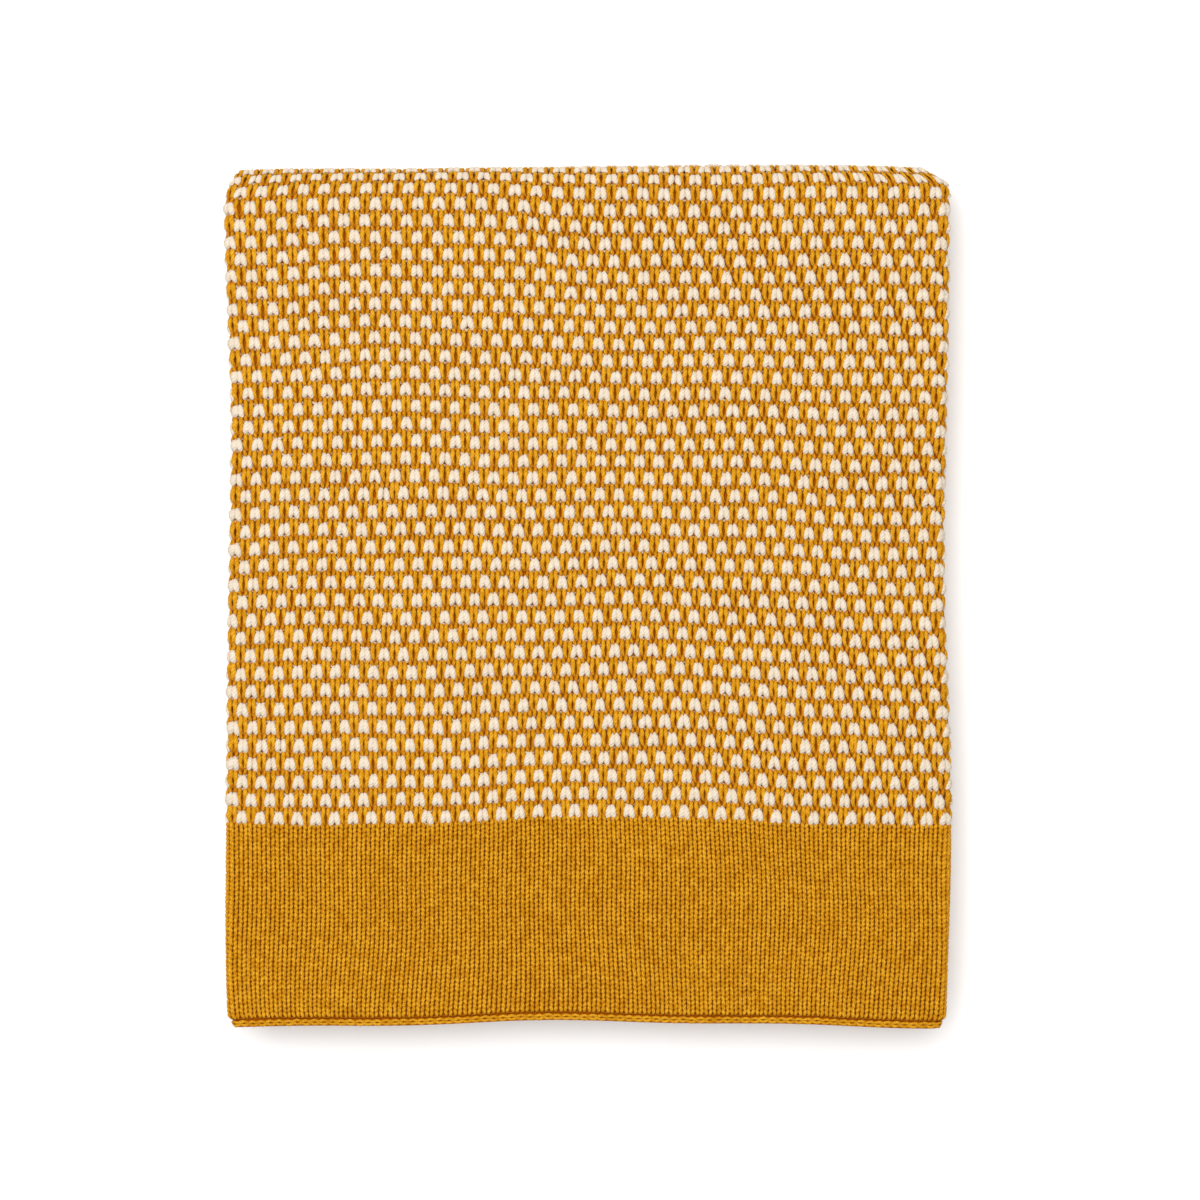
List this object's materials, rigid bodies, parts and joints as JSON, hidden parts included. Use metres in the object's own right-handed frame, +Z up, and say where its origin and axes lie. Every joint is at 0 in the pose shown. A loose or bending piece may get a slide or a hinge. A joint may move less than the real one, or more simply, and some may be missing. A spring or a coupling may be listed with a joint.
{
  "type": "folded knitted throw",
  "caption": "Large knitted throw folded in thirds both ways, with a dotted two-colour field, a plain band and a bound edge; its top flap opens about the top fold.",
  "frame": {"origin": "middle of the underside of the folded throw, on the surface that it lies on", "axes": "+Z up through the layers; +Y towards the top fold, where the flap turns over; +X across the folded throw, to the right when the flap is seen from above with the top fold away from the viewer"},
  "size_m": [0.424, 0.508, 0.045],
  "materials": {
    "dotted_knit": "matte cotton yarn, mustard with cream slip-stitch dots",
    "mustard_knit": "matte mustard cotton yarn"
  },
  "bodies": {
    "folded_base": {"top_fold_lower_center": "dotted_knit", "top_fold_lower_left_third": "dotted_knit", "top_fold_lower_right_third": "dotted_knit", "top_fold_lower_left_fold": "dotted_knit", "top_fold_lower_right_fold": "dotted_knit", "base_field_center": "dotted_knit", "base_field_left_third": "dotted_knit", "base_field_right_third": "dotted_knit", "base_field_left_fold": "dotted_knit", "base_field_right_fold": "dotted_knit", "lower_fold_center": "dotted_knit", "lower_fold_left_third": "dotted_knit", "lower_fold_right_third": "dotted_knit", "lower_fold_left_fold": "dotted_knit", "lower_fold_right_fold": "dotted_knit", "middle_field_center": "dotted_knit", "middle_field_left_third": "dotted_knit", "middle_field_right_third": "dotted_knit", "middle_field_left_fold": "dotted_knit", "middle_field_right_fold": "dotted_knit", "middle_band_center": "mustard_knit", "middle_band_left_third": "mustard_knit", "middle_band_right_third": "mustard_knit", "middle_band_left_fold": "mustard_knit", "middle_band_right_fold": "mustard_knit", "middle_cast_on_edge": "mustard_knit"},
    "top_flap": {"flap_bound_edge": "mustard_knit", "flap_band_center": "mustard_knit", "flap_band_left_third": "mustard_knit", "flap_band_right_third": "mustard_knit", "flap_band_left_fold": "mustard_knit", "flap_band_right_fold": "mustard_knit", "flap_field_center": "dotted_knit", "flap_field_left_third": "dotted_knit", "flap_field_right_third": "dotted_knit", "flap_field_left_fold": "dotted_knit", "flap_field_right_fold": "dotted_knit", "top_fold_upper_center": "dotted_knit", "top_fold_upper_left_third": "dotted_knit", "top_fold_upper_right_third": "dotted_knit", "top_fold_upper_left_fold": "dotted_knit", "top_fold_upper_right_fold": "dotted_knit"}
  },
  "joints": [
    {"name": "top_fold_hinge", "type": "hinge", "parent": "folded_base", "child": "top_flap", "pos_m": [0, 0.254, 0.0225], "axis": [-1, 0, 0], "range_deg": [0, 179]}
  ]
}
